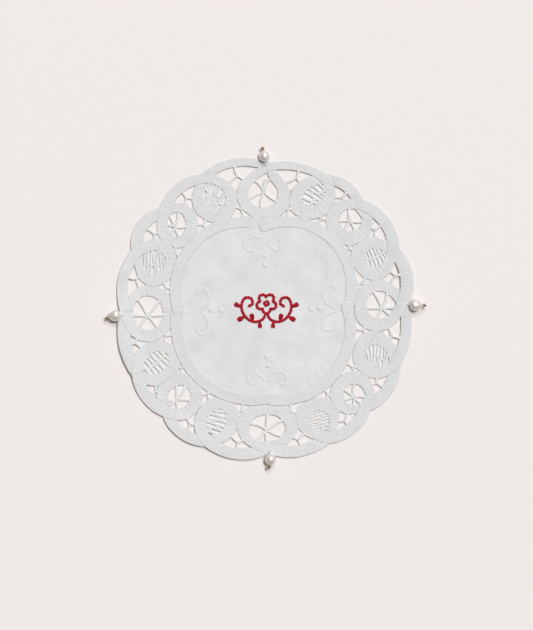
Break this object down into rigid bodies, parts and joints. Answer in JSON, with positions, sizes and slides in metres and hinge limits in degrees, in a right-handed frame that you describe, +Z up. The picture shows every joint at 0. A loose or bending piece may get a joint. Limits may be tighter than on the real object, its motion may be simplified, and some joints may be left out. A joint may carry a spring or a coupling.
{
  "type": "lace doily",
  "caption": "Round tape-lace doily lying flat: linen centre framed in woven tape, looped and scalloped tape edge with needle-made wheels and ladders, a pearl at each quarter.",
  "frame": {"origin": "middle of the doily's outline, on the surface that it lies on", "axes": "+Z up out of the cloth, +Y towards the pearl at the picture's top, +X towards the one at its right"},
  "size_m": [0.1607, 0.1626, 0.0058],
  "materials": {
    "linen": "fine plain-woven white linen",
    "lace_tape": "woven cotton lace tape and thread, white",
    "red_thread": "twisted crimson embroidery thread",
    "pearl": "cream nacre, smooth with a soft sheen",
    "seed_bead": "bronze-coated glass, glossy"
  },
  "bodies": {
    "root": {"linen_centre": "linen", "inner_tape": "lace_tape", "looped_tape": "lace_tape", "pearl_north": "pearl", "pearl_east": "pearl", "pearl_south": "pearl", "pearl_west": "pearl", "seed_bead_north": "seed_bead", "seed_bead_east": "seed_bead", "seed_bead_south": "seed_bead", "seed_bead_west": "seed_bead"}
  },
  "joints": []
}
